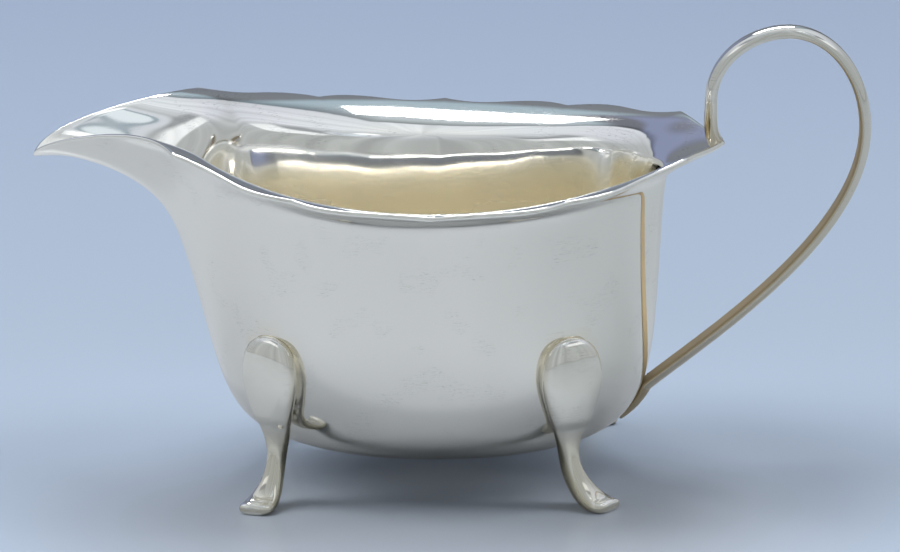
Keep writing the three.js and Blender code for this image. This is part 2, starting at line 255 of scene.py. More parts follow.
def oval_angle(x, y):
    """Angle round the bowl's oval of a place in plan: 0 at the handle, pi at the spout."""
    power = OVAL_SQUARENESS / 2
    along = np.sign(x) * np.abs(x / BOWL_HALF_LENGTH) ** power
    across = np.sign(y) * np.abs(y / BOWL_HALF_WIDTH) ** power
    return np.arctan2(across, along)


def neck_point(angle):
    """Outside of the bowl where the wall turns out into the flare."""
    rear = np.maximum(0, np.cos(angle))
    front = np.maximum(0, -np.cos(angle))
    drop = THROAT_CREST + NECK_SIDE_HEIGHT - THROAT_HEIGHT
    height = NECK_SIDE_HEIGHT + (NECK_REAR_HEIGHT - NECK_SIDE_HEIGHT) * rear**2
    height = height + THROAT_CREST * front**2 - drop * front**THROAT_SHARPNESS
    x = BOWL_HALF_LENGTH * rounded(np.cos(angle), OVAL_SQUARENESS)
    y = BOWL_HALF_WIDTH * rounded(np.sin(angle), OVAL_SQUARENESS)
    return np.stack([x, y, height], -1)


def wall_controls(angle):
    """Control points of the wall's section from the middle of the base up to the neck."""
    neck = neck_point(angle)
    front = 0.5 - 0.5 * np.cos(angle)
    base = mix(REAR_BASE, FRONT_BASE, front)
    wall = mix(REAR_WALL, FRONT_WALL, front)
    x, y = neck[..., 0], neck[..., 1]
    low = np.full_like(x, BASE_HEIGHT)
    foot = BASE_HEIGHT + mix(REAR_WALL_RISE, FRONT_WALL_RISE, front)
    return (
        np.stack([0 * x, 0 * y, low], -1),
        np.stack([x * base, y * base, low], -1),
        np.stack([x * wall, y * wall, foot], -1),
        neck,
    )


def wall_at(angle, height):
    """Point and outward normal of the wall at a height, found by halving."""
    angle = np.asarray(angle, float)
    controls = wall_controls(angle)
    low = np.zeros_like(angle)
    high = np.ones_like(angle)
    for _ in range(HALVINGS):
        middle = (low + high) / 2
        below = bezier(controls, middle)[..., 2] < height
        low = np.where(below, middle, low)
        high = np.where(below, high, middle)
    here = bezier(controls, low)
    upward = bezier(controls, low + NUDGE) - bezier(controls, low - NUDGE)
    along = bezier(wall_controls(angle + NUDGE), low) - bezier(wall_controls(angle - NUDGE), low)
    return here, unit(np.cross(along, upward))


SPOUT_TIP = point(-BOWL_HALF_LENGTH - SPOUT_REACH, 0, SPOUT_TIP_HEIGHT)
SHOULDER = point(
    -BOWL_HALF_LENGTH + SHOULDER_SETBACK, BOWL_HALF_WIDTH - SHOULDER_INSET, SHOULDER_HEIGHT
)
REAR_CORNER = point(
    BOWL_HALF_LENGTH + REAR_CORNER_REACH, REAR_CORNER_HALF_WIDTH, REAR_CORNER_HEIGHT
)
TONGUE_TIP = point(BOWL_HALF_LENGTH + TONGUE_REACH, 0, TONGUE_HEIGHT)
# Places of the side edge's two inner controls that put its middle at the rim's width and height
SIDE_WIDTH = (4 * RIM_WIDTH - SHOULDER[1] - REAR_CORNER[1]) / 6
SIDE_HEIGHT = (8 * RIM_HEIGHT - SHOULDER[2] - REAR_CORNER[2]) / 6
SPOUT_EDGE = (
    SPOUT_TIP,
    point(SPOUT_TIP[0] + SPOUT_TIP_BLUNTNESS, SPOUT_TIP_BREADTH, SPOUT_TIP_HEIGHT + SPOUT_ARCH),
    point(SHOULDER[0] - SHOULDER_RUN, SPOUT_BREADTH, SHOULDER_HEIGHT + SHOULDER_ARCH),
    SHOULDER,
)
SIDE_EDGE = (
    SHOULDER,
    point(-FRONT_FULLNESS, SIDE_WIDTH, SIDE_HEIGHT),
    point(REAR_FULLNESS, SIDE_WIDTH, SIDE_HEIGHT),
    REAR_CORNER,
)
TONGUE_EDGE = (
    REAR_CORNER,
    point(BOWL_HALF_LENGTH + TONGUE_ROOT_REACH, TONGUE_ROOT_HALF_WIDTH, REAR_CORNER_HEIGHT),
    point(BOWL_HALF_LENGTH + TONGUE_NOSE_REACH, TONGUE_NOSE_HALF_WIDTH, TONGUE_HEIGHT),
    TONGUE_TIP,
)


def scallop_cut(share):
    """Depth of the cut into the rim: 0 on points and humps, 1 in hollows and notches."""
    from_notch = np.abs(2 * ((share * SCALLOP_LOBES) % 1) - 1)
    hump = 1 - np.sin(0.5 * np.pi * from_notch / SCALLOP_HUMP)
    fall = 0.5 - 0.5 * np.cos(
        np.pi * (from_notch - SCALLOP_HUMP) / (SCALLOP_HOLLOW - SCALLOP_HUMP)
    )
    rise = 1 - ((from_notch - SCALLOP_HOLLOW) / (1 - SCALLOP_HOLLOW)) ** 2
    return np.where(
        from_notch < SCALLOP_HUMP, hump, np.where(from_notch < SCALLOP_HOLLOW, fall, rise)
    )


def flare_controls(edge, slope_there, lip):
    """Control points of the flare's outside from the neck to the uncut rim."""
    angle = oval_angle(edge[:, 0], edge[:, 1])
    neck = neck_point(angle)
    front = np.maximum(0, -np.cos(angle)) ** THROAT_SHARPNESS
    rear = np.maximum(0, np.cos(angle)) ** THROAT_SHARPNESS
    outward = edge - neck
    outward[:, 2] = 0
    outward = unit(outward)
    slope = slope_there + TONGUE_SLOPE * rear
    lipway = outward * np.cos(slope)[:, None]
    lipway[:, 2] = np.sin(slope)
    rim = edge.copy()
    rim[:, 2] -= lip
    wall = wall_controls(angle)
    climb = unit(wall[3] - wall[2])
    rise = mix(NECK_RISE, THROAT_RISE, front)
    reach = mix(mix(LIP_REACH, SPOUT_LIP_REACH, front), TONGUE_LIP_REACH, rear)
    controls = (neck, neck + climb * rise[:, None], rim - lipway * reach[:, None], rim)
    return angle, reach, controls


def half_rim():
    """Edge, slope, cut and lip thickness round one half of the rim, from tongue to spout."""
    tongue = np.arange(TONGUE_STEPS, 0, -1) / TONGUE_STEPS
    side = np.arange(SIDE_STEPS, 0, -1) / SIDE_STEPS
    spout = np.arange(SPOUT_STEPS, -1, -1) / SPOUT_STEPS
    edge = [bezier(TONGUE_EDGE, tongue), bezier(SIDE_EDGE, side), bezier(SPOUT_EDGE, spout)]
    cupped = mix(SPOUT_TIP_SLOPE, LIP_SLOPE, spout) + SPOUT_CUP * np.sin(np.pi * spout)
    level = np.full(TONGUE_STEPS + SIDE_STEPS, LIP_SLOPE)
    cut = np.concatenate([np.zeros(TONGUE_STEPS), scallop_cut(side), np.zeros(SPOUT_STEPS + 1)])
    full = np.full(TONGUE_STEPS + SIDE_STEPS, SHEET)
    lip = np.concatenate([full, mix(SPOUT_TIP_SHEET, SHEET, spout)])
    return np.concatenate(edge), np.concatenate([level, cupped]), cut, lip


def soften_neck(rows, centre):
    """Turns the sharp fold at the neck into a small fillet by averaging rows near it."""
    index = np.arange(len(rows))
    weight = np.exp(-(((index - centre) / FILLET_ROWS) ** 2))[:, None, None]
    for _ in range(FILLET_PASSES):
        average = rows.copy()
        average[1:-1] = (rows[:-2] + 2 * rows[1:-1] + rows[2:]) / 4
        rows = mix(rows, average, weight)
    return rows


def body_rings():
    """Closed skin of the bowl as rings of points, and how gilt each ring is.

    The rings run up the outside, round the edge and down the inside.
    """
    edge, slope, cut, lip = half_rim()
    angle, reach, flare = flare_controls(edge, slope, lip)
    # A Bezier curve arrives at its end at three times the reach of its last control
    trim = 1 - cut * SCALLOP_DEPTH / (3 * reach)
    wall = wall_controls(angle)
    rows = [bezier(wall, np.full(len(edge), step / WALL_STEPS)) for step in range(1, WALL_STEPS)]
    rows += [bezier(flare, trim * step / FLARE_STEPS) for step in range(FLARE_STEPS + 1)]
    half = soften_neck(np.array(rows), WALL_STEPS - 1)
    mirrored = half[:, -2:0:-1] * np.array([1, -1, 1])
    outer = np.concatenate([half, mirrored], axis=1)
    share = np.clip((np.arange(len(outer)) - WALL_STEPS + 1) / FLARE_STEPS, 0, 1)
    lips = np.concatenate([lip, lip[-2:0:-1]])
    thickness = mix(SHEET, lips[None, :], share[:, None])
    around = np.roll(outer, -1, axis=1) - np.roll(outer, 1, axis=1)
    upward = np.gradient(outer, axis=0)
    normal = unit(np.cross(around, upward))
    inner = outer - normal * thickness[..., None]
    middle = (outer[-1] + inner[-1]) / 2
    across = (outer[-1] - inner[-1]) / 2
    outward = unit(outer[-1] - outer[-2]) * EDGE_ROUND
    turns = np.pi * np.arange(1, EDGE_STEPS + 1) / (EDGE_STEPS + 1)
    lip_rows = [middle + across * math.cos(a) + outward * math.sin(a) for a in turns]
    below_neck = WALL_STEPS - 1 - np.arange(len(inner))
    gilt = smoothstep(below_neck, GILT_START, GILT_FULL)
    gilt = np.concatenate([np.zeros(len(outer) + EDGE_STEPS), gilt[::-1]])
    return list(outer) + lip_rows + list(inner[::-1]), gilt


def even_section(angle):
    """Cosine and sine of a cushion-shaped section."""
    return rounded(np.cos(angle), PAD_SECTION), rounded(np.sin(angle), PAD_SECTION)


def half_round_section(angle):
    """A wire that is round on the outside of its bends and nearly flat on the inside."""
    sine = np.sin(angle)
    widest = 1 - 2 * WIRE_CROWN
    across = rounded(np.cos(angle), np.where(sine > 0, ROUND_SECTION, FLAT_SECTION))
    crown = mix(widest, 1, sine)
    flat = mix(widest, -1, -rounded(sine, FLAT_SECTION))
    return across, np.where(sine > 0, crown, flat)


def sweep_rings(stations, sides, section):
    """Rings round a path. A station is a point, a half width, a half depth and a level side."""
    places = np.array([station[0] for station in stations])
    ahead = np.concatenate([places[1:], places[-1:]])
    behind = np.concatenate([places[:1], places[:-1]])
    side = np.array([station[3] for station in stations])
    within = np.cross(unit(ahead - behind), side)
    width = np.array([station[1] for station in stations])[:, None, None]
    depth = np.array([station[2] for station in stations])[:, None, None]
    across, through = (share[None, :, None] for share in section(round_angles(sides)))
    return places[:, None] + side[:, None] * width * across + within[:, None] * depth * through


def handle_stations():
    """The wire's path: up from the tongue, over in a loop, down to the bowl and along its wall."""
    edge = TONGUE_TIP[None]
    _, _, tongue = flare_controls(edge, np.array([LIP_SLOPE]), np.array([SHEET]))
    lipway = unit(tongue[3][0] - tongue[2][0])
    upward = point(-lipway[2], 0, lipway[0])
    root = tongue[3][0] - lipway * ROOT_INSET + upward * SHEET
    loop_x = root[0] + SOLDER_GAP * upward[0] - LOOP_SETBACK + LOOP_HALF_WIDTH
    loop_top = OVERALL_HEIGHT - WIRE_HALF_THICKNESS
    start = point(loop_x - LOOP_HALF_WIDTH, 0, loop_top - LOOP_RISE)
    end = point(loop_x + LOOP_HALF_WIDTH, 0, loop_top - LOOP_FALL)
    pull = (start[2] - root[2]) / 3
    riser = (root, root + upward * pull, start - point(0, 0, pull), start)
    side = point(0, 1, 0)
    stations = []
    for step in range(RISER_STEPS):
        share = step / RISER_STEPS
        taper = math.sqrt(share)
        width = mix(ROOT_HALF_WIDTH, WIRE_HALF_WIDTH, taper)
        depth = mix(ROOT_HALF_THICKNESS, WIRE_HALF_THICKNESS, taper)
        stations.append((bezier(riser, share), width, depth, side))
    for step in range(LOOP_STEPS):
        angle = math.pi * (1 - step / LOOP_STEPS)
        height = LOOP_RISE if math.cos(angle) < 0 else LOOP_FALL
        x = loop_x + LOOP_HALF_WIDTH * math.cos(angle)
        z = loop_top - height * (1 - math.sin(angle))
        depth = mix(WIRE_HALF_THICKNESS, BACK_HALF_THICKNESS, (step / LOOP_STEPS) ** 2)
        stations.append((point(x, 0, z), WIRE_HALF_WIDTH, depth, side))
    seat, normal = wall_at(0.0, HANDLE_SEAT_HEIGHT)
    seated = seat + normal * BACK_HALF_THICKNESS
    lean = point(math.cos(SWEEP_ANGLE), 0, math.sin(SWEEP_ANGLE))
    sweep = (end, end - point(0, 0, SWEEP_DROP), seated + lean * SWEEP_RUN, seated)
    for step in range(SWEEP_STEPS):
        place = bezier(sweep, step / SWEEP_STEPS)
        stations.append((place, WIRE_HALF_WIDTH, BACK_HALF_THICKNESS, side))
    for step in range(TAIL_STEPS + 1):
        share = step / TAIL_STEPS
        place, normal = wall_at(0.0, mix(HANDLE_SEAT_HEIGHT, TAIL_TIP_HEIGHT, share))
        depth = mix(BACK_HALF_THICKNESS, TAIL_HALF_THICKNESS, share)
        width = mix(WIRE_HALF_WIDTH, TAIL_HALF_WIDTH, share)
        stations.append((place + normal * depth, width, depth, side))
    return stations


def shank_width(share):
    """Half width between chin and hoof: it narrows to the ankle and spreads again."""
    narrowing = math.sin(0.5 * math.pi * min(share / ANKLE_SHARE, 1))
    if share < ANKLE_SHARE:
        return mix(SHANK_HALF_WIDTH, ANKLE_HALF_WIDTH, narrowing)
    return mix(ANKLE_HALF_WIDTH, HOOF_HALF_WIDTH, smoothstep(share, ANKLE_SHARE, 1))


def leg_rows():
    """Rows from the top of the knee pad to the toe: reach, height, width, depth and turn."""
    rows = []
    for step in range(1, KNEE_STEPS + 1):
        angle = 0.5 * math.pi * step / KNEE_STEPS
        share = rounded(math.sin(angle), KNEE_OUTLINE)
        height = mix(KNEE_HEIGHT, KNEE_TOP_HEIGHT, rounded(math.cos(angle), KNEE_OUTLINE))
        reach = mix(KNEE_TOP_REACH, KNEE_REACH, share)
        rows.append((reach, height, KNEE_HALF_WIDTH * share, KNEE_HALF_DEPTH * share, 0))
    for step in range(1, PAD_STEPS + 1):
        share = step / PAD_STEPS
        taper = share**PAD_TAPER
        width = mix(KNEE_HALF_WIDTH, CHIN_HALF_WIDTH, taper)
        height = mix(KNEE_HEIGHT, CHIN_HEIGHT, share)
        rows.append((mix(KNEE_REACH, CHIN_REACH, taper), height, width, KNEE_HALF_DEPTH, 0))
    path = (
        point(SHANK_REACH, 0, CHIN_HEIGHT - CHIN_STEP),
        point(BEND_REACH, 0, BEND_HEIGHT),
        point(HEEL_REACH, 0, HEEL_HEIGHT),
        point(HOOF_REACH - TOE_ROUND, 0, SOLE_HEIGHT),
    )
    for step in range(SHANK_STEPS + 1):
        share = step / SHANK_STEPS
        centre = bezier(path, share)
        swell = HOOF_SWELL * math.sin(math.pi * share)
        depth = mix(SHANK_HALF_DEPTH, SOLE_HALF_DEPTH, share**SOLE_TAPER) + swell
        turn = smoothstep(share, 0, TURN_SHARE)
        rows.append((centre[0], centre[2], shank_width(share), depth, turn))
    for step in range(1, TOE_STEPS + 1):
        angle = 0.5 * math.pi * step / (TOE_STEPS + 1)
        share = math.sqrt(math.cos(angle))
        reach = HOOF_REACH - TOE_ROUND * (1 - math.sin(angle))
        rows.append((reach, SOLE_HEIGHT, HOOF_HALF_WIDTH * share, SOLE_HALF_DEPTH * share, 1))
    return rows


def clear_of_wall(points):
    """Moves points that would lie in the bowl's wall out onto its face."""
    above = points[..., 2] > BASE_HEIGHT
    height = np.maximum(points[..., 2], BASE_HEIGHT + JUST_ABOVE)
    place, normal = wall_at(oval_angle(points[..., 0], points[..., 1]), height)
    depth = ((points - place) * normal).sum(-1)
    push = np.where(above & (depth < 0), -depth, 0)
    return points + normal * push[..., None]


def leg_rings(end, hand, angle, splay):
    """end is 1 at the handle and -1 at the spout, hand is 1 on the right and -1 on the left."""
    around = math.atan2(hand * math.sin(angle), end * math.cos(angle))
    knee, normal = wall_at(around, KNEE_HEIGHT)
    wall_splay = math.atan2(end * normal[0], hand * normal[1])
    stations = []
    for reach, height, width, depth, turn in leg_rows():
        there = mix(wall_splay, splay, turn)
        outward = point(end * math.sin(there), hand * math.cos(there), 0)
        place = knee + outward * reach
        place[2] = height
        facing = there - HOOF_TURN * turn
        side = point(-hand * math.cos(facing), end * math.sin(facing), 0)
        stations.append((place, width, depth, side))
    rings = clear_of_wall(sweep_rings(stations, LEG_SIDES, even_section))
    rings[..., 2] = np.maximum(rings[..., 2], 0)
    return list(rings)


def skin(name, rings):
    """A closed mesh over rings, each end closed by a fan round its middle."""
    count = len(rings[0])
    first = np.mean(rings[0], axis=0)
    last = np.mean(rings[-1], axis=0)
    points = np.concatenate([first[None], *rings, last[None]])
    faces = []
    for here in range(count):
        following = (here + 1) % count
        faces.append((0, 1 + following, 1 + here))
        for ring in range(len(rings) - 1):
            low = 1 + ring * count
            high = low + count
            faces.append((low + here, low + following, high + following, high + here))
        low = 1 + (len(rings) - 1) * count
        faces.append((low + count, low + here, low + following))
    mesh = bpy.data.meshes.new(name)
    mesh.from_pydata((points * MM).tolist(), [], faces)
    mesh.polygons.foreach_set("use_smooth", [True] * len(mesh.polygons))
    mesh.validate()
    piece = bpy.data.objects.new(name, mesh)
    bpy.context.collection.objects.link(piece)
    return piece


# Sockets of the mix node that hold colours
FIRST_COLOUR = 6
SECOND_COLOUR = 7
MIXED_COLOUR = 2


class Nodes:
    """Short way to build a material's or the world's node tree."""

    def __init__(self, owner):
        owner.use_nodes = True
        self.tree = owner.node_tree
        self.tree.nodes.clear()

    def add(self, kind, inputs=None, **settings):
        node = self.tree.nodes.new(kind)
        for name, value in settings.items():
            setattr(node, name, value)
        for key, value in (inputs or {}).items():
            if isinstance(value, bpy.types.NodeSocket):
                self.tree.links.new(value, node.inputs[key])
            else:
                node.inputs[key].default_value = value
        return node

    def math(self, operation, first, second=0.0):
        return self.add("ShaderNodeMath", {0: first, 1: second}, operation=operation).outputs[0]

    def span(self, value, before, after):
        """Maps a value from one range to another; the ends may be sockets."""
        node = self.add(
            "ShaderNodeMapRange",
            {
                "Value": value,
                "From Min": before[0],
                "From Max": before[1],
                "To Min": after[0],
                "To Max": after[1],
            },
        )
        return node.outputs["Result"]

    def ease(self, value, low, high):
        """0 up to low, 1 from high on and a smooth step between; low may be the greater."""
        node = self.add(
            "ShaderNodeMapRange",
            {"Value": value, "From Min": low, "From Max": high},
            interpolation_type="SMOOTHSTEP",
        )
        return node.outputs["Result"]

    def blend(self, share, first, second):
        """Mixes two colours, each a socket or three numbers."""
        first, second = (
            colour if isinstance(colour, bpy.types.NodeSocket) else (*colour, 1)
            for colour in (first, second)
        )
        inputs = {"Factor": share, FIRST_COLOUR: first, SECOND_COLOUR: second}
        return self.add("ShaderNodeMix", inputs, data_type="RGBA").outputs[MIXED_COLOUR]

    def scaled(self, colour, share):
        node = self.add("ShaderNodeVectorMath", {0: colour, "Scale": share}, operation="SCALE")
        return node.outputs[0]

    def noise(self, place, per_metre, detail):
        inputs = {"Vector": place, "Scale": per_metre, "Detail": detail}
        return self.add("ShaderNodeTexNoise", inputs).outputs["Fac"]

    def product(self, *shares):
        total = shares[0]
        for share in shares[1:]:
            total = self.math("MULTIPLY", total, share)
        return total

    def ramp(self, value, stops):
        """Colours along a value from 0 to 1, given as pairs of a place and three numbers."""
        node = self.add("ShaderNodeValToRGB", {"Fac": value})
        elements = node.color_ramp.elements
        while len(elements) > 1:
            elements.remove(elements[-1])
        place, colour = stops[0]
        elements[0].position = place
        elements[0].color = (*colour, 1)
        for place, colour in stops[1:]:
            elements.new(place).color = (*colour, 1)
        return node.outputs["Color"]


# Colours of the bare silver, and what lies on it
BODY_SILVER = (0.97, 0.955, 0.915)
WIRE_SILVER = (0.84, 0.83, 0.78)
CAST_SILVER = (0.96, 0.945, 0.9)
GILT = (0.99, 0.92, 0.75)
TARNISH = (0.5, 0.4, 0.255)
CAST_TARNISH = (0.64, 0.59, 0.45)
SCRATCH_GREY = (0.4, 0.4, 0.4)

# Roughness of each, where the noise of the smears is low
BODY_ROUGHNESS = 0.05
WIRE_ROUGHNESS = 0.06
CAST_ROUGHNESS = 0.06
GILT_ROUGHNESS = 0.26
TARNISH_ROUGHNESS = 0.62
CAST_TARNISH_ROUGHNESS = 0.2
SCRATCH_ROUGHNESS = 0.12

# What smears add to it, and how much later than its colour a stain's roughness comes in
SMEAR_ROUGHNESS = 0.04
STAIN_SMEAR_ROUGHNESS = 0.05
DULL_POWER = 3.0

# Height in metres of the low waves that raising, drawing and casting leave
BODY_WAVE = 0.00001
WIRE_WAVE = 0.00005
CAST_WAVE = 0.00008
WAVES_PER_METRE = 220.0

# Fineness of each mark's noise, and the values of it between which the mark comes in
SMEARS_PER_METRE = 90.0
SMEAR = (0.35, 0.7)
SCRATCH_STRETCH = (60.0, 60.0, 900.0)
SCRATCH_LINES = 5.0
SCRATCH_PATCHES_PER_METRE = 160.0
SCRATCH_LINE = (0.012, 0.004)
SCRATCH_PATCH = (0.55, 0.62)
SCRATCH_SHADE = 0.5


def scratches(nodes, place):
    """1 along sparse hair lines, where a stretched noise crosses its middle, 0 elsewhere."""
    mapping = nodes.add("ShaderNodeMapping", {"Vector": place, "Scale": SCRATCH_STRETCH})
    lines = nodes.noise(mapping.outputs["Vector"], SCRATCH_LINES, 2.0)
    patches = nodes.noise(place, SCRATCH_PATCHES_PER_METRE, 1.0)
    off_line = nodes.math("ABSOLUTE", nodes.math("SUBTRACT", lines, 0.5))
    return nodes.product(nodes.ease(off_line, *SCRATCH_LINE), nodes.ease(patches, *SCRATCH_PATCH))


def silver(name, tint, roughness, wave, stain, stain_roughness):
    """Polished silver with faint smears and hair scratches, satin and stained where stain is 1."""
    material = bpy.data.materials.new(name)
    nodes = Nodes(material)
    place = nodes.add("ShaderNodeTexCoord").outputs["Object"]
    smear = nodes.noise(place, SMEARS_PER_METRE, 3.0)
    stained = nodes.add("ShaderNodeAttribute", attribute_name="stain").outputs["Fac"]
    bright = nodes.span(smear, SMEAR, (roughness, roughness + SMEAR_ROUGHNESS))
    satin_range = (stain_roughness, stain_roughness + STAIN_SMEAR_ROUGHNESS)
    satin = nodes.span(smear, SMEAR, satin_range)
    dull = nodes.math("POWER", stained, DULL_POWER)
    rough = nodes.span(dull, (0, 1), (bright, satin))
    colour = nodes.blend(stained, tint, stain)
    scratch = scratches(nodes, place)
    colour = nodes.blend(nodes.math("MULTIPLY", scratch, SCRATCH_SHADE), colour, SCRATCH_GREY)
    rough = nodes.math("ADD", rough, nodes.math("MULTIPLY", scratch, SCRATCH_ROUGHNESS))
    waves = nodes.noise(place, WAVES_PER_METRE, 1.5)
    bump = nodes.add("ShaderNodeBump", {"Height": waves, "Strength": 1.0, "Distance": wave})
    shader = nodes.add(
        "ShaderNodeBsdfPrincipled",
        {
            "Base Color": colour,
            "Metallic": 1.0,
            "Roughness": rough,
            "Normal": bump.outputs["Normal"],
        },
    )
    nodes.add("ShaderNodeOutputMaterial", {"Surface": shader.outputs["BSDF"]})
    return material


def dress(piece, node, material):
    """Gives a piece its material and puts it in the place of a CAD node."""
    piece.data.materials.append(material)
    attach(piece, "root")
    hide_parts(node)


def paint(piece, stain):
    """Writes the stain of every point; the middle of an end has that of its ring's first point."""
    attribute = piece.data.attributes.new("stain", "FLOAT", "POINT")
    attribute.data.foreach_set("value", [stain[0, 0], *stain.ravel(), stain[-1, 0]])


def fitted(pieces):
    """The pieces' rings moved onto the CAD model, and scaled by a hair to fill the same box."""
    points = np.concatenate([ring for rings in pieces.values() for ring in rings])
    low, high = points.min(axis=0), points.max(axis=0)
    cad_low, cad_high = np.array(cad_box) / MM
    scale = (cad_high - cad_low) / (high - low)
    return {
        name: [cad_low + (ring - low) * scale for ring in rings] for name, rings in pieces.items()
    }


# Shares of tarnish, and the stretches of the wire's length over which each comes in
ROOT_TARNISH = 0.5
ROOT_TARNISHED = (0.12, 0.0)
INSIDE_TARNISHED = (0.2, 0.4)
SWEEP_TARNISH = 0.45
SWEEP_TARNISHED = (0.35, 0.7)
TAIL_TARNISH = 0.85
TAIL_TARNISHED = (0.86, 0.9)
FLAT_SIDE = (-0.35, -0.65)


def wire_tarnish(stations):
    """Tarnish on the wire: none at the loop's top, most on the inside of the sweep and the tail."""
    along = np.linspace(0, 1, len(stations))[:, None]
    _, outwards = half_round_section(round_angles(WIRE_SIDES))
    root = ROOT_TARNISH * smoothstep(along, *ROOT_TARNISHED)
    inner = np.maximum(smoothstep(along, *INSIDE_TARNISHED), root)
    outer = np.maximum(SWEEP_TARNISH * smoothstep(along, *SWEEP_TARNISHED), root)
    outer = np.maximum(outer, TAIL_TARNISH * smoothstep(along, *TAIL_TARNISHED))
    return mix(outer, inner, smoothstep(outwards, *FLAT_SIDE)[None, :])


# Shares of tarnish on a leg, and rows of its mesh over which they change
PAD_TARNISH = 0.12
SHANK_TARNISH = 0.55
SEAM_TARNISH = 0.5
TOE_POLISH = 0.8
SEAM_EDGE = (0.8, 1.0)
ROWS_ABOVE_CHIN = 4
ROWS_BELOW_CHIN = 10
ROWS_ABOVE_TOE = 6


def cast_tarnish(ring_count):
    """Tarnish on a leg: in the seam round the knee pad, down the shank and over the hoof."""
    row = np.arange(ring_count)[:, None]
    seam = smoothstep(np.abs(np.cos(round_angles(LEG_SIDES))), *SEAM_EDGE)[None, :]
    chin = KNEE_STEPS + PAD_STEPS
    shank = smoothstep(row, chin - ROWS_ABOVE_CHIN, chin + ROWS_BELOW_CHIN)
    toe = smoothstep(row, ring_count - TOE_STEPS - ROWS_ABOVE_TOE, ring_count - TOE_STEPS)
    leg = mix(PAD_TARNISH, SHANK_TARNISH, shank) * (1 - TOE_POLISH * toe)
    return np.clip(leg + SEAM_TARNISH * seam, 0, 1)


# Millimetres that solder shows beyond what it holds, and how strongly
SOLDER_SPREAD = 1.8
SOLDER_SHARE = 0.5


def solder_tint(skin_rings, soldered):
    """Yellowish solder on the bowl's outside where a leg or the wire stands against it."""
    points = np.concatenate([ring for rings in soldered for ring in rings])
    tree = KDTree(len(points))
    for index, place in enumerate(points):
        tree.insert(place, index)
    tree.balance()
    distance = np.zeros((len(skin_rings), len(skin_rings[0])))
    for row, ring in enumerate(skin_rings[: WALL_STEPS + FLARE_STEPS]):
        for column, place in enumerate(ring):
            _, _, distance[row, column] = tree.find(place)
    near = smoothstep(distance, SOLDER_SPREAD, SOLDER_GAP)
    near[WALL_STEPS + FLARE_STEPS :] = 0
    return SOLDER_SHARE * near


def make_finishes():
    """The material of each slot."""
    return {
        "silver": silver(
            "body_silver", BODY_SILVER, BODY_ROUGHNESS, BODY_WAVE, GILT, GILT_ROUGHNESS
        ),
        "wire": silver(
            "wire_silver", WIRE_SILVER, WIRE_ROUGHNESS, WIRE_WAVE, TARNISH, TARNISH_ROUGHNESS
        ),
        "cast_silver": silver(
            "cast_silver",
            CAST_SILVER,
            CAST_ROUGHNESS,
            CAST_WAVE,
            CAST_TARNISH,
            CAST_TARNISH_ROUGHNESS,
        ),
    }


def make_jug():
    """Body, handle and four legs, each over the CAD node that it replaces."""
    bowl, gilt = body_rings()
    wire = handle_stations()
    rings = {
        "jug_body": bowl,
        "jug_handle": list(sweep_rings(wire, WIRE_SIDES, half_round_section)),
    }
    stains = {"jug_handle": wire_tarnish(wire)}
    nodes_of = {"jug_body": ("body", "silver"), "jug_handle": ("handle", "wire")}
    for side_name, hand in (("left", -1), ("right", 1)):
        for end_name, end, angle, splay in (
            ("front", -1, FRONT_LEG_ANGLE, FRONT_LEG_SPLAY),
            ("rear", 1, REAR_LEG_ANGLE, REAR_LEG_SPLAY),
        ):
            name = f"{end_name}_leg_{side_name}"
            rings[name] = leg_rings(end, hand, angle, splay)
            stains[name] = cast_tarnish(len(rings[name]))
            nodes_of[name] = (f"leg_{end_name}_{side_name}", "cast_silver")
    soldered = [piece_rings for name, piece_rings in rings.items() if name != "jug_body"]
    stains["jug_body"] = np.maximum(gilt[:, None], solder_tint(bowl, soldered))
    finishes = make_finishes()
    for name, piece_rings in fitted(rings).items():
        node, slot = nodes_of[name]
        piece = skin(name, piece_rings)
        paint(piece, stains[name])
        dress(piece, node, finishes[slot])


# Camera, as fitted to the photograph
CAMERA_AZIMUTH = math.radians(2)
CAMERA_ELEVATION = math.radians(16.5)
CAMERA_ROLL = math.radians(-1)
CAMERA_DISTANCE = 0.7
CAMERA_LENS = 168
CAMERA_SENSOR = 36
CAMERA_AIM = Vector((-0.00047, 0, 0.03338))


def towards(azimuth, elevation):
    """Direction from the jug. Azimuth, in radians, runs from the camera's side to the handle's."""
    level = math.cos(elevation)
    return Vector((
        math.sin(azimuth) * level,
        -math.cos(azimuth) * level,
        math.sin(elevation),
    ))


def make_camera():
    data = bpy.data.cameras.new("camera")
    data.lens = CAMERA_LENS
    data.sensor_width = CAMERA_SENSOR
    camera = bpy.data.objects.new("camera", data)
    back = towards(CAMERA_AZIMUTH, CAMERA_ELEVATION)
    camera.location = CAMERA_AIM + back * CAMERA_DISTANCE
    turn = (-back).to_track_quat("-Z", "Y").to_matrix().to_4x4()
    roll = Matrix.Rotation(CAMERA_ROLL, 4, "Z")
    camera.rotation_mode = "QUATERNION"
    camera.rotation_quaternion = (turn @ roll).to_quaternion()
    bpy.context.collection.objects.link(camera)
    bpy.context.scene.camera = camera


# Metres on the floor: x towards the handle, y away from the camera, ahead towards it
FLOOR_REACH = 4.0
FLOOR_SPAN = (-0.05, 0.38)
# Edges of the painted grey shade just in front of the jug
SHADE_GREY_SIDES = (0.085, 0.03)
SHADE_GREY_START = (-0.015, 0.03)
SHADE_GREY_END = (0.13, 0.05)
# Reach of the painted shade in the silver, close round the jug and towards the handle's side
CLOSE_SHADE_WIDENING = 0.012
CLOSE_SHADE_EDGE = (0.048, 0.04)
RIGHT_SHADE_END = (0.0, 0.12)

# Grey of the painted shade in front of the jug, and how much of it is mixed in
FLOOR_SHADE_GREY = (0.52, 0.55, 0.61)
SHADE_GREY_SHARE = 0.6
FLOOR_MIRRORED = (0.495, 0.528, 0.566)
